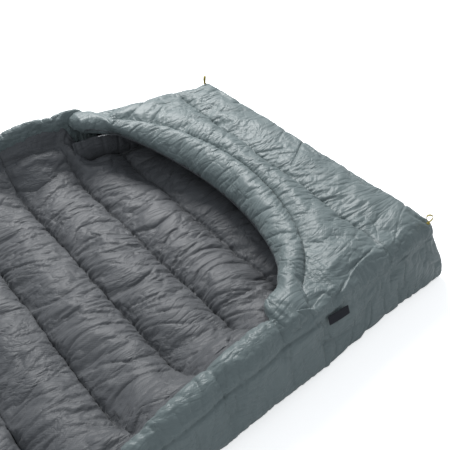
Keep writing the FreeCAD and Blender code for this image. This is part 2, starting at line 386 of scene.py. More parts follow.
def lining_piece(name, first, last):
    """Grid over chambers first to last: columns follow the edges, rows fall on the seams."""
    rows = int(round((last - first) * ROWS_A_CHAMBER)) + 1
    reach = np.linspace(first * PITCH, last * PITCH, rows)[:, None]
    across = np.linspace(-1.0, 1.0, LINING_COLUMNS)[None, :]
    x = across * lining_edge(across, reach)
    t = seam_fraction(reach)
    to_seam = np.minimum(t, 1 - t) * PITCH
    near_seam = np.exp(-to_seam / 0.034)
    chamber = np.floor(reach / PITCH + 1e-6)
    fan = fan_of_creases(x + 0.37 * chamber, t * PITCH, 11, 0.019)
    stitch = drift(x / 0.0065 + 0.37 * chamber, 0 * reach, 13)
    z = lining_height(x, reach)
    z = z - (0.0060 + 0.0090 * near_seam) * fan
    z = z + 0.0016 * stitch * np.exp(-to_seam / 0.008) - 0.002 * np.exp(-to_seam / 0.004)
    piece, _ = mesh_piece(name, place(x, reach, z), faces_of(rows, LINING_COLUMNS))
    mark_stitches(piece, to_seam, x)
    seam_row = np.broadcast_to(to_seam < 0.002, z.shape)
    border = np.zeros(z.shape, bool)
    border[[0, -1], :] = True
    border[:, [0, -1]] = True
    will_buckle(piece, (seam_row | border).ravel(), 0.05, 2.2, 0.010)
    print(name, len(piece.data.vertices), "points")
    return piece


SPLIT_CHAMBER = 6
lining_foot = lining_piece("lining_foot_part", 0.12, SPLIT_CHAMBER)
lining_head = lining_piece("lining_head_part", SPLIT_CHAMBER, CHAMBERS - 0.12)

# %% [markdown]
# ## The side rolls
#
# Past the mouth of the foot box the shell wraps up and over a thick edge of down. Each seam of the
# main panel pinches it, which gives the scalloped edge. The section is a smooth curve through a few
# heights, and it is carried along the side.

# %% Side roll pieces
def curve_through(points, samples):
    """A Catmull-Rom curve through points (n x ... x 2), sampled evenly in the point number."""
    n = len(points)
    t = np.linspace(0.0, n - 1.0, samples)
    k = np.minimum(t.astype(int), n - 2)
    f = (t - k).reshape((-1,) + (1,) * (points.ndim - 1))
    before = points[np.maximum(k - 1, 0)]
    start = points[k]
    end = points[k + 1]
    after = points[np.minimum(k + 2, n - 1)]
    return 0.5 * (
        2 * start
        + (end - before) * f
        + (2 * before - 5 * start + 4 * end - after) * f ** 2
        + (3 * start - before - 3 * end + after) * f ** 3
    )


def roll_section(side, reach):
    """Section points of a roll, as (distance in from the outer edge, height) pairs.

    The outer face leans out towards the ground as the box's wall does, up to the side seam. Above
    the seam lies the plump top, and its inner lip comes down over the edge of the lining.
    """
    h = roll_height(reach) * (1.0 if side > 0 else 1.10)
    k = h / BOX_TOP
    w = roll_width(side, reach)
    out = np.zeros_like(h)
    rows = [
        (out + 0.075, out + 0.002), (out - 0.004, out + 0.002), (-0.027 * k, 0.045 * h + 0.002),
        (-0.037 * k, 0.16 * h), (-0.030 * k, 0.40 * h), (-0.017 * k, 0.62 * h),
        (out - 0.004, 0.80 * h), (0.26 * w, 0.975 * h), (0.60 * w, 1.035 * h),
        (0.88 * w, 0.985 * h), (w, 0.88 * h), (0.95 * w, 0.74 * h),
    ]
    return np.stack([np.stack(row, -1) for row in rows])


ROLL_START = BOX_REACH - 0.110
ROLL_ROWS = 430
ROLL_COLUMNS = 88


def roll_shape(side, inset):
    """The section carried along one side, pinched at the seams and drawn to a point at both ends.

    Every section point is pulled towards a centre line: by the pinch, by the ends, and by inset,
    which is 0 for the cover and more for what is inside it.
    """
    reach = np.linspace(ROLL_START, LENGTH - 0.002, ROLL_ROWS)[None, :]
    section = curve_through(roll_section(side, reach[0]), ROLL_COLUMNS)
    middle = np.stack([0 * reach[0] + 0.045, 0.45 * section[..., 1].max(0)], -1)[None]
    to_seam = np.minimum(seam_fraction(reach), 1 - seam_fraction(reach)) * PITCH
    pinch = 1 - puff(seam_fraction(reach), 0.45)
    above = smooth(0.02, 0.06, section[..., 1])
    towards_lip = smooth(0.0, 0.05, section[..., 0]) * smooth(0.10, 0.14, section[..., 1])
    tip = np.minimum(reach - ROLL_START - 0.085 * towards_lip, LENGTH - reach)
    ends = np.sqrt(1 - (1 - np.clip(tip / 0.035, 0.0, 1.0)) ** 2)
    on_top = smooth(0.72, 0.95, section[..., 1] / roll_height(reach))
    closeness = (1 - (0.03 + 0.09 * on_top) * pinch * above) * (0.03 + 0.97 * ends) * (1 - inset)
    section = middle + (section - middle) * closeness[..., None]
    steps = np.diff(section, axis=0, prepend=section[:1])
    girth = np.cumsum(np.hypot(steps[..., 0], steps[..., 1]), 0)
    near = np.exp(-to_seam / 0.035)
    from_side_seam = girth - girth[int(0.54 * ROLL_COLUMNS)]
    upright = fan_of_creases(reach + 0 * girth, from_side_seam, 21 + int(side), 0.015)
    gather = creases(girth, reach + 0 * girth, 0.014, 0.07, 31 + int(side))
    seam_line = np.exp(-np.abs(from_side_seam) / 0.004)
    dent = above * ends * (0.004 * near * gather * on_top + 0.005 * upright + 0.006 * seam_line)
    inward = section - middle
    inward = inward / np.maximum(np.linalg.norm(inward, axis=-1, keepdims=True), 1e-6)
    section = section - inward * dent[..., None]
    x = side * (half(reach) + far_spread(side, reach) - section[..., 0])
    points = place(x, reach, np.maximum(section[..., 1], 0.0008))
    held = np.zeros(girth.shape, bool)
    held[[0, -1], :] = True
    held[:, [0, -1]] = True
    held |= (to_seam < 0.003) | (section[..., 1] < 0.006)
    return points, held


def roll_piece(name, side):
    points, held = roll_shape(side, 0.0)
    quads = faces_of(ROLL_COLUMNS, ROLL_ROWS)
    piece, _ = mesh_piece(name, points, quads if side > 0 else quads[:, ::-1])
    will_buckle(piece, held.ravel(), 0.03, 1.6, 0.008)
    print(name, len(piece.data.vertices), "points")
    return piece


roll_near = roll_piece("side_roll_near", 1.0)
roll_far = roll_piece("side_roll_far", -1.0)

# %% [markdown]
# ## The foot box
#
# Its top panel is laid out flat as a rectangle that is larger than the box, and bent over the
# edges: a point that lies past the edge runs down a quarter round. The mouth is cut out of it, and
# the draft tube covers the cut. One straight seam crosses the panel, and the cloth puckers hard
# there.

# %% Top panel layout
SIDE_ROUND = 0.056
FOOT_ROUND = 0.030
EDGE_TURN = math.radians(78.0)
FAR_SPREAD = 0.013
NEAR_SPREAD = 0.004
FOOT_SPREAD = 0.010
TOP_SEAM = 0.150
MOUTH_END = 0.530
SKEW = 0.045
MOUTH_ACROSS = 0.494
MOUTH_ALONG = 0.308
FLAT_TOP = BOX_TOP - 0.001


def skewed(x, reach):
    """The top is sewn a little out of square, more so away from the foot edge."""
    return SKEW * x * smooth(0.02, 0.16, reach)


def mouth_guide(turn, outer):
    """Edge of the draft tube at an angle from one notch (0) to the other (pi).

    The inner edge hangs low behind the middle of the mouth and rises to the notches, and the
    outer one is the curved seam on the top panel. Both are half ellipses in plan.
    """
    across = MOUTH_ACROSS if outer else 0.446
    along = MOUTH_ALONG if outer else 0.230
    x = across * np.cos(turn)
    reach = MOUTH_END - along * np.sin(turn)
    reach = reach + SKEW * x
    level = np.abs(np.cos(turn))
    if outer:
        pleat = smooth(0.905, 0.955, level)
        x = x + np.sign(x) * (0.052 + far_spread(x, reach)) * pleat
        z = 0.180 - 0.018 * pleat
    else:
        x = x - far_spread(x, reach) * level ** 2
        z = 0.122 + 0.056 * level ** 3
    return np.stack([x, reach, z + 0 * x], -1)


def past_curved_seam(x, reach):
    """Distance from the curved seam, positive on the foot side, by the ellipse's slope."""
    u = x / MOUTH_ACROSS
    v = (MOUTH_END - reach + SKEW * x) / MOUTH_ALONG
    level = np.sqrt(u * u + v * v) + 1e-9
    slope = np.hypot(u / MOUTH_ACROSS, v / MOUTH_ALONG) / level
    outside = np.abs(x) - MOUTH_ACROSS
    return np.where(reach - SKEW * x > MOUTH_END, outside, (level - 1.0) / slope)


def side_limit(across, reach):
    """Where the top stops being flat towards a side, before its round edge."""
    spread = np.where(across > 0, NEAR_SPREAD, FAR_SPREAD + far_spread(-1.0, reach))
    return half(np.maximum(reach, 0.0)) + spread - SIDE_ROUND


def bend_over(across, reach):
    """Bends the flat layout over the side and foot edges: returns x, reach and the drop.

    The angle turned is the length past the edge over the edge's radius. At the corners the two
    angles join by a power mean, high enough to keep the corners square.
    """
    inner = side_limit(across, reach)
    start = FOOT_ROUND - FOOT_SPREAD
    over_x = np.maximum(np.abs(across) - inner, 0.0)
    over_foot = np.maximum(start - reach, 0.0)
    a = over_x / SIDE_ROUND
    b = over_foot / FOOT_ROUND
    turn = (a ** 4 + b ** 4 + 1e-12) ** 0.25
    share = np.sin(np.minimum(turn, 1.7)) / turn
    radius = (SIDE_ROUND * a ** 4 + FOOT_ROUND * b ** 4 + 1e-13) / (a ** 4 + b ** 4 + 1e-12)
    x = np.sign(across) * (np.minimum(np.abs(across), inner) + over_x * share)
    y = np.maximum(reach, start) - over_foot * share
    return x, y, radius * (1 - np.cos(turn))


def top_layout(rows, columns):
    """Flat layout of the top panel: full width with its overhang, from the foot to the notches."""
    first = FOOT_ROUND - FOOT_SPREAD - FOOT_ROUND * EDGE_TURN
    reach = np.linspace(first, BOX_REACH - 0.004, rows)[:, None] + np.zeros((1, columns))
    share = np.linspace(-1.0, 1.0, columns)[None, :]
    across = share * (side_limit(share, reach) + SIDE_ROUND * EDGE_TURN)
    return across, reach


def top_height(across, reach):
    """Two bands of down: one from the foot edge to the straight seam, one on to the curved seam."""
    lean = reach - skewed(across, reach)
    wander = 0.006 * drift(across / 0.11, 0.0 * reach, 41)
    from_seam = lean - (TOP_SEAM + wander)
    beyond = past_curved_seam(across, reach)
    rear = np.clip(lean / TOP_SEAM, 0.0, 1.0)
    front = np.clip(from_seam / np.maximum(from_seam + np.maximum(beyond, 0.0), 1e-4), 0.0, 1.0)
    rear_puff = puff(0.28 + 0.72 * rear, 0.5)
    front_puff = puff(front, 0.5) * smooth(0.0, 0.06, from_seam + beyond)
    rise = np.where(from_seam < 0, 0.020 * rear_puff, 0.024 * front_puff)
    shoulder = smooth(0.05, -0.02, side_limit(across, reach) - np.abs(across))
    rise = rise + (0.016 - rise) * 0.75 * shoulder
    return FLAT_TOP - 0.016 + rise - 0.030 * smooth(-0.005, -0.04, beyond), from_seam, beyond


# %% Top panel piece
def top_panel():
    rows = 190
    columns = 420
    across, reach = top_layout(rows, columns)
    z, from_seam, beyond = top_height(across, reach)
    x, y, drop = bend_over(across, reach)
    near_straight = np.exp(-np.abs(from_seam) / 0.040)
    near_curved = np.exp(-np.abs(beyond) / 0.030)
    gather = fan_of_creases(across, from_seam, 51, 0.017)
    around = np.arctan2(MOUTH_END - reach, across)
    gather_round = fan_of_creases(around * 0.45, beyond, 55, 0.013)
    folds = creases(across - 0.5 * reach, reach + 0.3 * across, 0.055, 0.16, 59)
    inside = side_limit(across, reach) - np.abs(across)
    calm = 0.15 + 0.85 * smooth(-0.03, 0.07, inside)
    dent = 0.010 * near_straight * gather + 0.007 * near_curved * gather_round
    dent = dent + 0.005 * folds * (1 - near_straight) * (1 - near_curved)
    z = z - drop - calm * dent
    points = place(x, y, z)
    quads = faces_of(rows, columns)
    beside_mouth = (reach - SKEW * across > 0.455) & (np.abs(across) > 0.40)
    hidden = ((beyond < -0.020) | beside_mouth).ravel()
    quads = quads[~hidden[quads].any(axis=1)]
    piece, used = mesh_piece("foot_box_top_panel", points, quads)
    to_row = np.minimum(np.abs(from_seam), np.abs(beyond - 0.003))
    mark_stitches(piece, to_row, across, used)
    held = (np.abs(from_seam) < 0.0016) | (beyond < 0.002)
    held[[0, -1], :] = True
    held[:, [0, -1]] = True
    will_buckle(piece, held.ravel()[used], 0.035, 1.6, 0.008)
    print(piece.name, len(piece.data.vertices), "points")
    return piece


top_panel_piece = top_panel()

# %% [markdown]
# The walls hang from the top panel's edge. Their top row is the very edge of the layout above, bent
# by the same rule, so the seam between the two stays shut, and their bottom row lies on the ground.

# %% Foot box walls
grids = {}


def smooth_fall(v):
    """Share of the wall's height that is behind, from 0 at the seam to 1 on the ground."""
    return 1 - (1 - v) ** 1.15


def wall_piece(name, across, reach, outward, corners, seed):
    """Rows of points from an edge of the top panel down to the ground.

    Each row leans out towards the ground, then turns in under the quilt, and long folds run down.
    Close to a corner it leans along the neighbouring wall's way too, so that the two stay joined:
    corners holds the share of that at the first and the last column.
    """
    top_z, _, _ = top_height(across, reach)
    x, y, drop = bend_over(across, reach)
    z = top_z - drop
    rows = 48
    v = np.linspace(0.0, 1.0, rows)[:, None]
    s = np.concatenate([[0.0], np.cumsum(np.hypot(np.diff(x), np.diff(y)))])[None, :]
    first = 1 - smooth(0.0, 0.07, s)
    last = 1 - smooth(0.0, 0.07, s[0, -1] - s)
    shared = first * np.any(corners[0]) + last * np.any(corners[1])
    fall = smooth_fall(v)
    lean = 0.033 * np.sin(0.5 * math.pi * np.minimum(v / 0.84, 1.0)) ** 1.3
    lean = lean - 0.018 * smooth(0.86, 1.0, v)
    calm = np.sin(math.pi * v) ** 0.5 * (1 - shared)
    hang = 0.008 * drift(s / 0.06 + 0.5 * v, 0.9 * v + 0 * s, seed)
    fold = 0.008 * fan_of_creases(s, 0.16 * v, seed + 1, 0.026)
    inwards = 0.012 * smooth(0.43, 0.475, np.broadcast_to(y, x.shape)[None, :])
    out = lean + calm * (hang - fold) - inwards
    aside = [first * corners[0][i] + last * corners[1][i] for i in (0, 1)]
    zz = np.maximum(z[None, :] * (1 - fall), 0.0015)
    points = place(
        x[None, :] + outward[0] * out + aside[0] * lean,
        y[None, :] + outward[1] * out + aside[1] * lean, zz,
    )
    grids[name] = points
    piece, _ = mesh_piece(name, points, faces_of(rows, len(x)))
    held = np.zeros(zz.shape, bool)
    held[[0, -1], :] = True
    held[:, [0, -1]] = True
    held |= zz < 0.005
    will_buckle(piece, held.ravel(), 0.03, 1.6, 0.007)
    print(name, len(piece.data.vertices), "points")
    return piece


def wall_edges():
    """The three stretches of the top panel's outer edge, running round from near to far."""
    first = FOOT_ROUND - FOOT_SPREAD - FOOT_ROUND * EDGE_TURN
    along = np.linspace(0.480, first, 180)
    over = SIDE_ROUND * EDGE_TURN
    near = side_limit(1.0, along) + over
    far = -side_limit(-1.0, along) - over
    none = (0.0, 0.0)
    yield "wall_near", near, along, (1.0, 0.0), (none, (0.0, -1.0)), 61
    across = np.linspace(near[-1], far[-1], 330)
    yield "wall_end", across, 0 * across + first, (0.0, -1.0), ((1.0, 0.0), (-1.0, 0.0)), 64
    yield "wall_far", far[::-1], along[::-1], (-1.0, 0.0), ((0.0, -1.0), none), 67


walls = {row[0]: wall_piece(*row) for row in wall_edges()}

# %% [markdown]
# ## The draft tube
#
# A tube of down runs round the mouth and closes it on the sleeper's legs. Its section is a plump
# loop between two guide lines, the hanging inner edge and the curved seam, so it can tilt as it
# goes: it hangs steeply behind the middle of the mouth and lies over on its side at the notches.

# %% Draft tube piece
def even_turns(count):
    """Angles that are evenly spaced along the tube, not by angle."""
    turn = np.linspace(0.0, math.pi, 2000)
    line = mouth_guide(turn, False)
    run = np.concatenate([[0], np.cumsum(np.linalg.norm(np.diff(line, axis=0), axis=1))])
    return np.interp(np.linspace(0, run[-1], count), run, turn), run[-1]


def tube_shape(stations, round_points, inset):
    """The tube's points and the ones that its seams hold.

    Each ring is a plump loop whose width runs from guide to guide. Creases come from both seams
    and slack folds lie between them; inset shrinks the ring for what is inside.
    """
    turn, run = even_turns(stations)
    inner = mouth_guide(turn, False)
    outer = mouth_guide(turn, True)
    centre = 0.5 * (inner + outer)
    side = 0.5 * (inner - outer)
    length = np.linalg.norm(side, axis=1, keepdims=True)
    side = side / length
    up = np.array([0.0, 0.0, 1.0]) - side * side[:, 2:3]
    up /= np.linalg.norm(up, axis=1, keepdims=True)
    angle = np.linspace(0.0, 2 * math.pi, round_points, endpoint=False)[None, :]
    cosine = np.sign(np.cos(angle)) * np.abs(np.cos(angle)) ** 0.85
    sine = np.sign(np.sin(angle)) * np.abs(np.sin(angle)) ** 0.85
    s = np.linspace(0, run, stations)[:, None]
    lump = 1 + 0.07 * drift(s / 0.14, 0 * angle, 71)
    high = np.where(sine > 0, 0.031, 0.024) * lump
    wide = 0.002 + length * (1.02 + 0.04 * drift(s / 0.1, 0 * angle, 72))
    girth = angle * 0.045
    gather = fan_of_creases(s + 0.01 * np.sin(angle), girth, 73, 0.013)
    at_seam = np.exp(-((1 + cosine) / 0.35) ** 2) + 0.7 * np.exp(-((1 - cosine) / 0.35) ** 2)
    slack = creases(s + 0.5 * girth, girth, 0.030, 0.12, 79)
    shrink = (1 - inset) * (1 - 0.13 * at_seam * gather - 0.09 * slack * (1 - at_seam))
    tip = np.minimum(s, run - s)
    close = 0.04 + 0.96 * np.clip(tip / 0.022, 0.0, 1.0) ** 0.4
    points = (
        centre[:, None, :]
        + side[:, None, :] * (wide * cosine * shrink * close)[..., None]
        + up[:, None, :] * (high * sine * shrink * close)[..., None]
    )
    points[..., 1] = FOOT_Y - points[..., 1]
    held = np.zeros((stations, round_points), bool)
    held[:2, :] = True
    held[-2:, :] = True
    held[:, [0, round_points // 2]] = True
    return points, held


def draft_tube():
    points, held = tube_shape(400, 80, 0.0)
    quads = faces_of(400, 80, closed=True)[:, ::-1]
    piece, _ = mesh_piece("draft_tube", points, quads, end_caps(400, 80))
    to_row = np.where(np.arange(80) == 40, 0.0, ROW_REACH)[None, :]
    mark_stitches(piece, to_row, np.linspace(0.0, 1.3, 400)[:, None])
    will_buckle(piece, held.ravel(), 0.035, 1.6, 0.007)
    print(piece.name, len(piece.data.vertices), "points")
    return piece


draft_tube_piece = draft_tube()

# %% [markdown]
# ## Inside the foot box, underneath, and at the head
#
# The lining goes on round the inside of the box: over the feet and down the three walls. The under
# shell is one sheet on the ground, and a narrow stuffed hem closes the head end.

# %% Box lining, under shell and head hem
def ceiling_piece():
    """The lining over the feet, sagging between its seams."""
    rows = 90
    columns = 200
    reach = np.linspace(0.050, BOX_REACH - 0.03, rows)[:, None]
    share = np.linspace(-1.0, 1.0, columns)[None, :]
    x = share * (half(reach) - 0.056)
    beyond = past_curved_seam(x, reach + 0 * x)
    z = UNDER_TOP + 0.004 - 0.012 * puff(np.clip(reach / 0.16, 0, 1)) + 0 * x
    z = z + 0.004 * creases(x, reach + 0 * x, 0.03, 0.1, 81) + 0.030 * smooth(-0.005, -0.05, beyond)
    beside_mouth = (reach > 0.42) & (np.abs(x) > 0.44)
    hidden = ((beyond < -0.055) | beside_mouth).ravel()
    quads = faces_of(rows, columns)
    quads = quads[~hidden[quads].any(axis=1)]
    piece, _ = mesh_piece("foot_box_ceiling", place(x, reach, z), quads[:, ::-1])
    return piece


def inner_wall(name, start, end, seed):
    """Lining of one wall between two plan points (x, reach), from the floor to the ceiling."""
    columns = 140
    rows = 26
    s = np.linspace(0, 1, columns)[None, :]
    v = np.linspace(0, 1, rows)[:, None]
    x = start[0] + (end[0] - start[0]) * s
    reach = start[1] + (end[1] - start[1]) * s
    normal = np.array([end[1] - start[1], -(end[0] - start[0])])
    normal = normal / np.linalg.norm(normal)
    inward = 0.010 * np.sin(math.pi * v) - 0.005 * creases(s * 0.6, v * 0.1, 0.03, 0.1, seed)
    z = 0.045 + (UNDER_TOP - 0.040) * v + 0 * s
    points = place(x + normal[0] * inward, reach + normal[1] * inward, z)
    grids[name] = points
    piece, _ = mesh_piece(name, points, faces_of(rows, columns))
    return piece


def under_piece(name, first, last, rows):
    """The under shell: flat where it lies on the ground, drawn up a little at each seam."""
    columns = 180
    reach = np.linspace(first, last, rows)[:, None]
    share = np.linspace(-1.0, 1.0, columns)[None, :]
    x = share * (half(reach) - 0.012)
    t = seam_fraction(reach)
    lift = 0.005 * (1 - puff(t, 0.3)) * smooth(1.0, 0.9, np.abs(share))
    z = 0.0012 + lift + 0.002 * creases(x, reach + 0 * x, 0.03, 0.1, 85)
    piece, _ = mesh_piece(name, place(x, reach, z), faces_of(rows, columns)[:, ::-1])
    return piece


def hem_shape(stations, around, inset):
    """A stuffed tube across the head edge, between the two side rolls, drawn in at both ends."""
    s = np.linspace(-1.0, 1.0, stations)[:, None]
    angle = np.linspace(0, 2 * math.pi, around, endpoint=False)[None, :]
    gather = creases(s * 0.6, angle * 0.02, 0.018, 0.06, 91)
    ends = np.sqrt(1 - smooth(0.94, 1.0, np.abs(s)) * 0.96)
    size = (1 - 0.12 * gather) * ends * (1 - inset)
    x = s * (half(LENGTH) - 0.052) + 0 * angle
    reach = LENGTH - 0.020 + 0.019 * np.cos(angle) * size
    return place(x, reach, 0.026 + 0.025 * np.sin(angle) * size)


def hem_piece():
    rings = hem_shape(260, 40, 0.0)
    return mesh_piece("head_hem", rings, faces_of(260, 40, closed=True), end_caps(260, 40))[0]


ceiling = ceiling_piece()
wall_x = half(0.0) - 0.058
mouth_x = half(BOX_REACH) - 0.058
inner_walls = {
    "inner_wall_near": inner_wall("inner_wall_near", (mouth_x, BOX_REACH), (wall_x, 0.056), 82),
    "inner_wall_end": inner_wall("inner_wall_end", (wall_x, 0.056), (-wall_x, 0.056), 83),
    "inner_wall_far": inner_wall("inner_wall_far", (-wall_x, 0.056), (-mouth_x, BOX_REACH), 84),
}
under_foot = under_piece("under_shell_foot", 0.012, 6 * PITCH, 170)
under_head = under_piece("under_shell_head", 6 * PITCH, LENGTH - 0.004, 150)
head_hem = hem_piece()
buckle_all()

# %% [markdown]
# ## What is inside
#
# Nobody sees the down and the baffles, but a quilt without them is an empty bag, and the pieces
# have to be there when the part is taken apart. Each follows the cloth around it a few millimetres
# inside, from the same height functions, so at rest it stays hidden. When the foot box is pressed
# right down, the down of the end wall still comes through its shell.

# %% Down in the main chambers, and the baffles between them
def main_down(number):
    """The down of one chamber: under the lining, over the under shell, between two baffles."""
    reach = np.linspace((number - 1) * PITCH + 0.003, number * PITCH - 0.003, 26)[:, None]
    reach = np.clip(reach, 0.030, LENGTH - 0.045)
    share = np.linspace(-1.0, 1.0, 140)[None, :]
    x = share * (lining_edge(share, reach) - 0.012)
    roof = lining_height(x, reach)
    top = np.maximum(0.55 * roof, roof - 0.024)
    bottom = np.minimum(0.012 + 0.25 * np.maximum(roof - CREST, 0.0), top - 0.004)
    return pillow("down_%02d" % number, place(x, reach, top), place(x, reach, bottom))


def baffle(number):
    """A strip of mesh on edge, from the under shell to the lining, along one seam."""
    reach = np.full((2, 160), number * PITCH)
    share = np.linspace(-1.0, 1.0, 160)[None, :]
    x = share * (lining_edge(share, number * PITCH) - 0.02)
    roof = lining_height(x, reach[:1]) - 0.0045
    height = np.concatenate([np.full_like(roof, 0.0075), roof])
    reach = reach + 0.0008 * drift(x / 0.02, np.array([[0.0], [1.0]]), 100 + number)
    return mesh_piece("baffle_%02d" % number, place(x, reach, height), faces_of(2, 160))[0]


FOLD_SEAM = int(round(FOLD_REACH / PITCH))
downs = {number: main_down(number) for number in range(1, CHAMBERS + 1)}
baffles = {n: baffle(n) for n in range(1, CHAMBERS) if n != FOLD_SEAM}
print(len(downs), "bodies of down,", len(baffles), "baffles")


# %% Down in the rolls, the box, the tube and the hem
def roll_down(name, side):
    points, _ = roll_shape(side, 0.34)
    coarse = points[::4, 36:-12:6].copy()
    coarse[..., 2] = np.maximum(coarse[..., 2], 0.008)
    around, stations = coarse.shape[:2]
    rings = coarse.transpose(1, 0, 2)
    quads = faces_of(stations, around, closed=True)
    caps = end_caps(stations, around)
    if side > 0:
        return mesh_piece(name, rings, quads[:, ::-1], [ring[::-1] for ring in caps])[0]
    return mesh_piece(name, rings, quads, caps)[0]


def top_down(name, first, last):
    """Down between the top panel and the ceiling, in one band of the panel."""
    s = np.linspace(0.0, 1.0, 24)[:, None]
    x = np.linspace(-1.0, 1.0, 130)[None, :] * (half(0.0) - 0.052)
    reach = first(x) + (last(x) - first(x)) * s
    z, _, _ = top_height(x, reach)
    return pillow(name, place(x, reach, z - 0.016), place(x, reach, UNDER_TOP + 0.010 + 0 * z))


def straight_seam(x):
    """Reach of the straight seam at x, by its skew alone."""
    return TOP_SEAM + SKEW * x


def curved_seam(x):
    """Reach of the curved seam at x, kept short of the side walls."""
    share = np.clip(np.abs(x) / MOUTH_ACROSS, 0.0, 0.90)
    return MOUTH_END - MOUTH_ALONG * np.sqrt(1 - share ** 2) + SKEW * x


def tube_down():
    rings, _ = tube_shape(60, 24, 0.34)
    quads = faces_of(60, 24, closed=True)[:, ::-1]
    return mesh_piece("down_tube", rings, quads, end_caps(60, 24))[0]


def hem_down():
    rings = hem_shape(60, 16, 0.18)
    return mesh_piece("down_hem", rings, faces_of(60, 16, closed=True), end_caps(60, 16))[0]


def wall_down(name, wall_name, inner_name):
    """Down between a wall and its lining: the wall's grid moved in, and the lining's moved out."""
    outer = grids[wall_name]
    inner = grids[inner_name]
    v = np.linspace(0.42, 0.86, 12)
    s = np.linspace(0.12, 0.88, 80)

    def sampled(grid):
        rows = np.round(v * (grid.shape[0] - 1)).astype(int)
        columns = np.round(s * (grid.shape[1] - 1)).astype(int)
        return grid[np.ix_(rows, columns)]

    out = sampled(outer)
    back = sampled(inner[::-1])
    return pillow(name, out + 0.30 * (back - out), out + 0.80 * (back - out))


roll_downs = [roll_down("down_roll_near", 1.0), roll_down("down_roll_far", -1.0)]
rear_down = top_down("down_top_rear", lambda x: 0 * x + 0.052, lambda x: straight_seam(x) - 0.004)
front_down = top_down("down_top_front", lambda x: straight_seam(x) + 0.004, curved_seam)
tube_fill = tube_down()
hem_fill = hem_down()
wall_downs = {
    side: wall_down("down_wall_" + side, "wall_" + side, "inner_wall_" + side)
    for side in ("near", "end", "far")
}


# %% The box's own baffle and the hem of the mouth
def top_baffle():
    """The strip of mesh under the straight seam of the top panel."""
    x = np.linspace(-1.0, 1.0, 120)[None, :] * (half(0.0) - 0.052)
    reach = straight_seam(x)
    z, _, _ = top_height(x, reach)
    height = np.concatenate([UNDER_TOP + 0.010 + 0 * z, z - 0.006])
    reach = np.concatenate([reach, reach])
    return mesh_piece("baffle_top", place(x, reach, height), faces_of(2, 120))[0]


def mouth_binding():
    """A thin rolled hem that follows the inner edge of the draft tube."""
    turn, _ = even_turns(240)
    turn = turn[6:-6]
    line = mouth_guide(turn, False)
    angle = np.linspace(0, 2 * math.pi, 12, endpoint=False)[None, :, None]
    forward = np.gradient(line, axis=0)
    forward /= np.linalg.norm(forward, axis=1, keepdims=True)
    side = np.cross(forward, [0.0, 0.0, 1.0])
    side /= np.linalg.norm(side, axis=1, keepdims=True)
    up = np.cross(side, forward)
    centre = line - 0.004 * up
    rings = centre[:, None] + 0.0028 * (np.cos(angle) * side[:, None] + np.sin(angle) * up[:, None])
    rings[..., 1] = FOOT_Y - rings[..., 1]
    stations = len(turn)
    return mesh_piece(
        "mouth_binding", rings, faces_of(stations, 12, closed=True), end_caps(stations, 12)
    )[0]


top_baffle_strip = top_baffle()
mouth_binding_piece = mouth_binding()

# %% [markdown]
# ## Loops, tacks and the label
#
# Small things that the eye goes to. A loop is one length of narrow woven tape, both ends sewn into
# the corner, so it opens to a teardrop and not to a circle. The label is a folded strip of satin.

# %% Corner loops and their bar tacks
def tape_section(width, thickness, points):
    """A flat oval section: (across, through) pairs, with blunt rounded edges."""
    angle = np.linspace(0, 2 * math.pi, points, endpoint=False)
    across = 0.5 * width * np.sign(np.cos(angle)) * np.abs(np.cos(angle)) ** 0.5
    through = 0.5 * thickness * np.sign(np.sin(angle)) * np.abs(np.sin(angle)) ** 0.7
    return across, through


def corner_loop(name, node):
    """Tape along a teardrop that fills the node's own box.

    The teardrop leans along the box's diagonal: out = R sin t sin(t/2), up = H (1 - cos t) / 2.
    """
    low, high = (np.array(corner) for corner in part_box(node))
    side = math.copysign(1.0, low[0])
    t = np.linspace(0.12, 2 * math.pi - 0.12, 72)
    middle = 0.5 * (low + high)
    wide = 0.0080
    along = np.array([side, 1.0, 0.0]) / math.sqrt(2.0)
    across = np.array([-side, 1.0, 0.0]) / math.sqrt(2.0)
    swing = np.sin(t) * np.sin(t / 2) ** 1.2
    swing = wide * swing / swing.max()
    lift = (high[2] - low[2] - 0.001) * 0.5 * (1 - np.cos(t))
    line = np.array([middle[0], middle[1], low[2]])
    line = line + swing[:, None] * along + lift[:, None] * np.array([0.0, 0.0, 1.0])
    forward = np.gradient(line, axis=0)
    forward /= np.linalg.norm(forward, axis=1, keepdims=True)
    flat_way, thick_way = tape_section(0.0066, 0.0013, 16)
    normal = np.cross(forward, across)
    rings = line[:, None] + flat_way[None, :, None] * across
    rings = rings + thick_way[None, :, None] * normal[:, None]
    faces = faces_of(len(t), 16, closed=True)
    return mesh_piece(name, rings, faces, end_caps(len(t), 16))[0]


def bar_tack(name, node):
    """A small pad of zigzag stitches that holds the loop: ridges across a low cushion."""
    low, high = (np.array(corner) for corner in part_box(node))
    u, v = np.meshgrid(np.linspace(-1, 1, 49), np.linspace(1, -1, 21))
    dome = (1 - u ** 6) * (1 - v ** 6)
    ridge = 0.72 + 0.28 * np.abs(np.cos(u * 6.5 * math.pi))
    centre = 0.5 * (low + high)
    size = 0.5 * (high - low)
    top = np.stack([
        centre[0] + size[0] * u, centre[1] + size[1] * v,
        low[2] + (high[2] - low[2]) * (0.15 + 0.85 * dome * ridge),
    ], -1)
    bottom = top.copy()
    bottom[..., 2] = low[2]
    return pillow(name, top, bottom)


loops = {side: corner_loop("loop_" + side, "corner_loop_" + side) for side in ("near", "far")}
tacks = {side: bar_tack("tack_" + side, "loop_tack_" + side) for side in ("near", "far")}
for side, tape in loops.items():
    print("loop", side, [round(v, 4) for v in tape.dimensions])


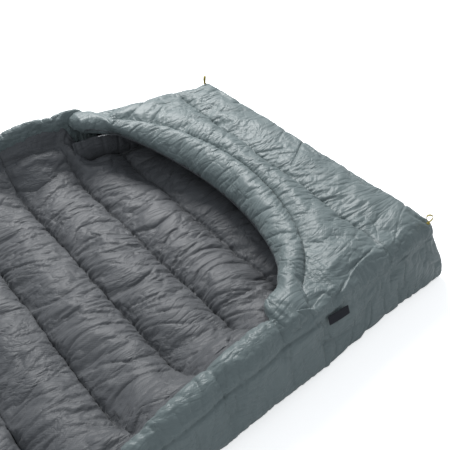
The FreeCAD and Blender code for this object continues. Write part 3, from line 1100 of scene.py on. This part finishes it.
# %% Label
def folded_label():
    """A strip folded along its lower edge: two leaves a hair apart, joined by a round fold.

    It hangs against the outermost point of the wall behind it and bows outwards to its fold.
    """
    low, high = (np.array(corner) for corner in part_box("label"))
    s = np.linspace(0.0, 1.0, 40)[:, None]
    leaf = np.linspace(0.0, 1.0, 18)
    fold = np.linspace(-0.5 * math.pi, 0.5 * math.pi, 9)[1:-1]
    tall = high[2] - low[2]
    gap = 0.5 * (high[0] - low[0]) - 0.00025
    drop = np.concatenate([leaf, 1 + 0.0 * fold, leaf[::-1]])
    dip = np.concatenate([0 * leaf, np.cos(fold) * gap, 0 * leaf])
    away = np.concatenate([0 * leaf + gap, -gap * np.sin(fold), 0 * leaf - gap])
    bow = (0.0011 * np.sin(math.pi * s) + 0.009) * drop[None, :]
    wall = grids["wall_near"].reshape(-1, 3)
    beside = (wall[:, 1] > low[1] - 0.01) & (wall[:, 1] < high[1] + 0.01)
    face = wall[beside & (wall[:, 2] > low[2] - 0.004), 0].max() + 0.0012
    x = face + away[None, :] + bow
    y = low[1] + (high[1] - low[1]) * s + 0 * x
    z = high[2] - (tall - gap) * drop[None, :] - dip[None, :] + 0 * x
    outside = np.stack([x, y, z], -1)
    return mesh_piece("side_label", outside, faces_of(40, outside.shape[1]))[0]


side_label = folded_label()
print("label", [round(v, 4) for v in side_label.dimensions])

# %% [markdown]
# ## Finishes
#
# Nylon this thin is satin, not shiny: a soft highlight that breaks up over hundreds of tiny
# crumples. One group makes those crumples and the weave for every fabric, with its own sizes in
# each material, and another mottles the colour where the down shows through.

# %% Shared groups
def group(name, inputs, outputs):
    tree = bpy.data.node_groups.new(name, "ShaderNodeTree")
    for label, default in inputs:
        socket = tree.interface.new_socket(label, in_out="INPUT", socket_type="NodeSocketFloat")
        socket.default_value = default
    for label, kind in outputs:
        tree.interface.new_socket(label, in_out="OUTPUT", socket_type=kind)
    return tree, tree.nodes.new("NodeGroupInput"), tree.nodes.new("NodeGroupOutput")


def math_node(tree, operation, *values):
    node = tree.nodes.new("ShaderNodeMath")
    node.operation = operation
    for socket, value in zip(node.inputs, values):
        if isinstance(value, (int, float)):
            socket.default_value = value
        else:
            tree.links.new(value, socket)
    return node.outputs[0]


def vector_node(tree, operation, first, second):
    node = tree.nodes.new("ShaderNodeVectorMath")
    node.operation = operation
    tree.links.new(first, node.inputs[0])
    if isinstance(second, tuple):
        node.inputs[1].default_value = second
    else:
        tree.links.new(second, node.inputs[1])
    return node.outputs[0]


def noise_node(tree, vector, scale, detail, roughness=0.5):
    node = tree.nodes.new("ShaderNodeTexNoise")
    for label, value in (("Scale", scale), ("Detail", detail), ("Roughness", roughness)):
        node.inputs[label].default_value = value
    tree.links.new(vector, node.inputs["Vector"])
    return node


def crumple_group():
    """Height of fine creases and weave: ridged noise that is long one way and slowly warped,
    and a plain weave, the product of two sines."""
    tree, given, result = group(
        "crumpled nylon",
        [("Crumple Size", 60.0), ("Stretch", 0.35), ("Weave Size", 900.0), ("Weave", 0.04)],
        [("Height", "NodeSocketFloat")],
    )
    here = tree.nodes.new("ShaderNodeTexCoord").outputs["Object"]
    size = given.outputs["Crumple Size"]
    stretch = tree.nodes.new("ShaderNodeCombineXYZ")
    tree.links.new(size, stretch.inputs["X"])
    tree.links.new(
        math_node(tree, "MULTIPLY", size, given.outputs["Stretch"]), stretch.inputs["Y"]
    )
    tree.links.new(size, stretch.inputs["Z"])
    scaled = vector_node(tree, "MULTIPLY", here, stretch.outputs[0])
    slow = noise_node(tree, here, 6.0, 1.0)
    swing = vector_node(tree, "MULTIPLY", slow.outputs["Color"], (5.0, 5.0, 5.0))
    warped = vector_node(tree, "ADD", scaled, swing)
    coarse = noise_node(tree, warped, 1.0, 2.0, 0.45)
    ridge = math_node(tree, "ABSOLUTE", math_node(tree, "SUBTRACT", coarse.outputs["Fac"], 0.5))
    crumple = math_node(tree, "POWER", math_node(tree, "MULTIPLY", ridge, 4.0), 0.7)
    split = tree.nodes.new("ShaderNodeSeparateXYZ")
    tree.links.new(here, split.inputs[0])
    warp, weft = (
        math_node(tree, "SINE", math_node(tree, "MULTIPLY", way, given.outputs["Weave Size"]))
        for way in (split.outputs["X"], split.outputs["Y"])
    )
    weave = math_node(
        tree, "MULTIPLY", math_node(tree, "MULTIPLY", warp, weft), given.outputs["Weave"]
    )
    tree.links.new(math_node(tree, "ADD", crumple, weave), result.inputs["Height"])
    return tree


def mottle_group():
    """A slow patchy mask, where the down lies thick or thin under the cloth."""
    tree, given, result = group(
        "down showing through", [("Patch Size", 14.0), ("Contrast", 1.0)],
        [("Mask", "NodeSocketFloat")],
    )
    here = tree.nodes.new("ShaderNodeTexCoord").outputs["Object"]
    noise = noise_node(tree, here, 1.0, 4.0, 0.6)
    tree.links.new(given.outputs["Patch Size"], noise.inputs["Scale"])
    centred = math_node(tree, "SUBTRACT", noise.outputs["Fac"], 0.5)
    spread = math_node(tree, "MULTIPLY", centred, given.outputs["Contrast"])
    mask = tree.nodes.new("ShaderNodeClamp")
    tree.links.new(math_node(tree, "ADD", spread, 0.5), mask.inputs["Value"])
    tree.links.new(mask.outputs[0], result.inputs["Mask"])
    return tree


CRUMPLE = crumple_group()
MOTTLE = mottle_group()


# %% Fabric materials
def stitch_group():
    """Mask of a row of thread dashes: near the row, and on for two thirds of each stitch."""
    tree, given, result = group(
        "row of stitches", [("Near", 0.0), ("Run", 0.0), ("Stitch Length", 0.0032)],
        [("Mask", "NodeSocketFloat")],
    )
    on_row = math_node(tree, "GREATER_THAN", given.outputs["Near"], 0.82)
    count = math_node(tree, "DIVIDE", given.outputs["Run"], given.outputs["Stitch Length"])
    dash = math_node(tree, "LESS_THAN", math_node(tree, "FRACT", count), 0.66)
    tree.links.new(math_node(tree, "MULTIPLY", on_row, dash), result.inputs["Mask"])
    return tree


STITCHES = stitch_group()
THREAD = (0.045, 0.050, 0.053)


def group_node(tree, kind, **values):
    node = tree.nodes.new("ShaderNodeGroup")
    node.node_tree = kind
    for label, value in values.items():
        node.inputs[label.replace("_", " ")].default_value = value
    return node


def mix_colours(tree, mask, first, second):
    """Goes from the first colour to the second by a mask; the first may be a socket."""
    mix = tree.nodes.new("ShaderNodeMix")
    mix.data_type = "RGBA"
    tree.links.new(mask, mix.inputs[0])
    if isinstance(first, tuple):
        mix.inputs[6].default_value = (*first, 1.0)
    else:
        tree.links.new(first, mix.inputs[6])
    mix.inputs[7].default_value = (*second, 1.0)
    return mix.outputs[2]


def sew_rows(tree, colour, height):
    """Puts the thread of the seams over a colour and a height, and returns both."""
    row = group_node(tree, STITCHES)
    for label, layer in (("Near", "stitch_near"), ("Run", "stitch_run")):
        read = tree.nodes.new("ShaderNodeAttribute")
        read.attribute_name = layer
        tree.links.new(read.outputs["Fac"], row.inputs[label])
    thread = row.outputs["Mask"]
    raised = math_node(tree, "ADD", height, math_node(tree, "MULTIPLY", thread, 0.2))
    return mix_colours(tree, thread, colour, THREAD), raised


def fabric(name, dark, light, roughness, crumple_size, bump, sheen, weave=0.05, stretch=0.35,
           sewn=False):
    """Satin nylon: mottled colour, crumple bump, a soft sheen at grazing angles."""
    material = bpy.data.materials.new(name)
    material.use_nodes = True
    tree = material.node_tree
    shader = tree.nodes["Principled BSDF"]
    shader.inputs["Roughness"].default_value = roughness
    shader.inputs["Specular IOR Level"].default_value = 0.42
    shader.inputs["Sheen Weight"].default_value = sheen
    shader.inputs["Sheen Roughness"].default_value = 0.45
    crumple = group_node(
        tree, CRUMPLE, Crumple_Size=crumple_size, Stretch=stretch, Weave=weave
    )
    mottle = group_node(tree, MOTTLE, Contrast=0.7)
    colour = mix_colours(tree, mottle.outputs["Mask"], dark, light)
    height = crumple.outputs["Height"]
    if sewn:
        colour, height = sew_rows(tree, colour, height)
    tree.links.new(colour, shader.inputs["Base Color"])
    bump_node = tree.nodes.new("ShaderNodeBump")
    bump_node.inputs["Strength"].default_value = bump
    bump_node.inputs["Distance"].default_value = 0.0030
    tree.links.new(height, bump_node.inputs["Height"])
    tree.links.new(bump_node.outputs["Normal"], shader.inputs["Normal"])
    return material


shell_nylon = fabric(
    "sage shell nylon", (0.140, 0.176, 0.179), (0.184, 0.226, 0.229), 0.46, 48.0, 0.55, 0.10,
    stretch=0.20, sewn=True
)
lining_nylon = fabric(
    "grey lining nylon", (0.086, 0.090, 0.097), (0.118, 0.123, 0.131), 0.54, 50.0, 0.60, 0.08,
    stretch=0.18, sewn=True
)
down_tufts = fabric(
    "white down", (0.72, 0.70, 0.66), (0.86, 0.85, 0.82), 0.95, 120.0, 0.8, 0.3, weave=0.0
)
baffle_net = fabric("baffle net", (0.55, 0.56, 0.56), (0.70, 0.70, 0.70), 0.8, 300.0, 0.4, 0.1)
loop_tape = fabric(
    "olive loop tape", (0.30, 0.235, 0.030), (0.42, 0.335, 0.050), 0.6, 500.0, 0.3, 0.2, weave=0.3
)
label_satin = fabric(
    "black label satin", (0.006, 0.007, 0.012), (0.012, 0.014, 0.022), 0.7, 500.0, 0.2, 0.0
)

# %% [markdown]
# ## Dressing the pieces and tying them to the frame

# %% Finish of each piece
def dress(material, slot_name, *pieces):
    for piece in pieces:
        piece.data.materials.clear()
        piece.data.materials.append(material)


dress(shell_nylon, "shell_fabric", roll_near, roll_far, top_panel_piece, draft_tube_piece,
      under_foot, under_head, head_hem, *walls.values())
dress(lining_nylon, "lining_fabric", lining_foot, lining_head, ceiling, mouth_binding_piece,
      *inner_walls.values())
dress(down_tufts, "down", *downs.values(), *roll_downs, rear_down, front_down, tube_fill, hem_fill,
      *wall_downs.values())
dress(baffle_net, "baffle_mesh", *baffles.values(), top_baffle_strip)
dress(loop_tape, "loop_ribbon", *loops.values(), *tacks.values())
dress(label_satin, "label_weave", side_label)

# %% [markdown]
# The head section folds over the seam that has no baffle, and the baffles, the hem and the downs
# past it ride with it. The head lining, the rolls, the head under shell, the two downs beside that
# seam and the walls of the foot box are baked where they stand and ride on no body. In the real
# quilt the walls crumple when the top is pressed down.

# %% Riding on the bodies
for piece in (lining_head, roll_near, roll_far, under_head, *roll_downs,
              downs[FOLD_SEAM], downs[FOLD_SEAM + 1]):
    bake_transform(piece)
for piece in walls.values():
    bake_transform(piece)
for piece in (*inner_walls.values(), *wall_downs.values()):
    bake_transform(piece)
for piece in (lining_foot, under_foot):
    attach(piece, "root")
for number in range(1, CHAMBERS + 1):
    body = "root" if number <= FOLD_SEAM else "head_section"
    if number not in (FOLD_SEAM, FOLD_SEAM + 1):
        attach(downs[number], body)
    if number in baffles:
        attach(baffles[number], body)
        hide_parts("baffle_wall_%02d" % number)
    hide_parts("down_chamber_%02d" % number)
for piece in (top_panel_piece, draft_tube_piece, ceiling, rear_down, front_down, tube_fill,
              top_baffle_strip, mouth_binding_piece, *tacks.values()):
    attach(piece, "foot_box_top")
for piece in (head_hem, hem_fill):
    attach(piece, "head_section")
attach(side_label, "label")

# %% What each piece stands for
STANDS_FOR = [
    (lining_foot, "lining_foot"), (lining_head, "lining_head"),
    (under_foot, "shell_under_foot"), (under_head, "shell_under_head"),
    (top_panel_piece, "top_shell"), (ceiling, "top_lining"),
    (rear_down, "top_fill_rear"), (front_down, "top_fill_front"),
    (top_baffle_strip, "top_seam_baffle"), (mouth_binding_piece, "mouth_hem"),
    (draft_tube_piece, "draft_tube_cover"), (tube_fill, "draft_tube_fill"),
    (head_hem, "head_hem_cover"), (hem_fill, "head_hem_fill"), (side_label, "label"),
    (walls["wall_end"], "end_wall_shell"), (inner_walls["inner_wall_end"], "end_wall_lining"),
    (wall_downs["end"], "end_wall_fill"),
]
for side, roll, fill in (("near", roll_near, roll_downs[0]), ("far", roll_far, roll_downs[1])):
    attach(loops[side], "loop_" + side)
    STANDS_FOR += [
        (loops[side], "corner_loop_" + side), (tacks[side], "loop_tack_" + side),
        (walls["wall_" + side], "side_wall_%s_shell" % side),
        (inner_walls["inner_wall_" + side], "side_wall_%s_lining" % side),
        (wall_downs[side], "side_wall_%s_fill" % side),
        (roll, "roll_middle_%s_cover" % side), (roll, "roll_head_%s_cover" % side),
        (fill, "roll_middle_%s_fill" % side), (fill, "roll_head_%s_fill" % side),
    ]
for piece, node in STANDS_FOR:
    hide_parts(node)

# %% [markdown]

# %% [markdown]
# ## Light and floor
#
# One large soft light from the far left gives the satin its highlights, and a pale room fills the
# rest. What the camera sees of the room and the floor is made near white.

# %% Studio
def area_light(name, place_at, target, size, power):
    data = bpy.data.lights.new(name, "AREA")
    data.shape = "DISK"
    data.size = size
    data.energy = power
    light = bpy.data.objects.new(name, data)
    light.location = place_at
    aim = Vector(target) - Vector(place_at)
    light.rotation_euler = aim.to_track_quat("-Z", "Y").to_euler()
    bpy.context.collection.objects.link(light)


def studio():
    bpy.context.scene.view_settings.view_transform = "Standard"
    area_light("key", (-2.1, FOOT_Y + 0.5, 2.3), (0.0, FOOT_Y - 0.5, 0.1), 1.6, 108.0)
    area_light("fill", (2.2, FOOT_Y - 2.6, 2.4), (0.0, FOOT_Y - 0.6, 0.1), 2.4, 6.0)
    world = bpy.data.worlds.new("room")
    world.use_nodes = True
    world.node_tree.nodes["Background"].inputs["Color"].default_value = (0.88, 0.94, 1.0, 1.0)
    seen = world.node_tree.nodes.new("ShaderNodeLightPath")
    shown = math_node(world.node_tree, "MULTIPLY", seen.outputs["Is Camera Ray"], 0.70)
    strength = math_node(world.node_tree, "ADD", shown, 0.45)
    background = world.node_tree.nodes["Background"]
    world.node_tree.links.new(strength, background.inputs["Strength"])
    bpy.context.scene.world = world


def floor():
    side = 14.0
    corners = [(-side, -side, 0), (side, -side, 0), (side, side, 0), (-side, side, 0)]
    mesh = bpy.data.meshes.new("floor")
    mesh.from_pydata(corners, [], [(0, 1, 2, 3)])
    sheet = bpy.data.objects.new("floor", mesh)
    bpy.context.collection.objects.link(sheet)
    material = bpy.data.materials.new("floor paper")
    material.use_nodes = True
    shader = material.node_tree.nodes["Principled BSDF"]
    shader.inputs["Base Color"].default_value = (0.93, 0.93, 0.93, 1.0)
    shader.inputs["Roughness"].default_value = 0.9
    shader.inputs["Emission Color"].default_value = (1.0, 1.0, 1.0, 1.0)
    seen = material.node_tree.nodes.new("ShaderNodeLightPath")
    glow = math_node(material.node_tree, "MULTIPLY", seen.outputs["Is Camera Ray"], 0.62)
    material.node_tree.links.new(glow, shader.inputs["Emission Strength"])
    mesh.materials.append(material)


studio()
floor()
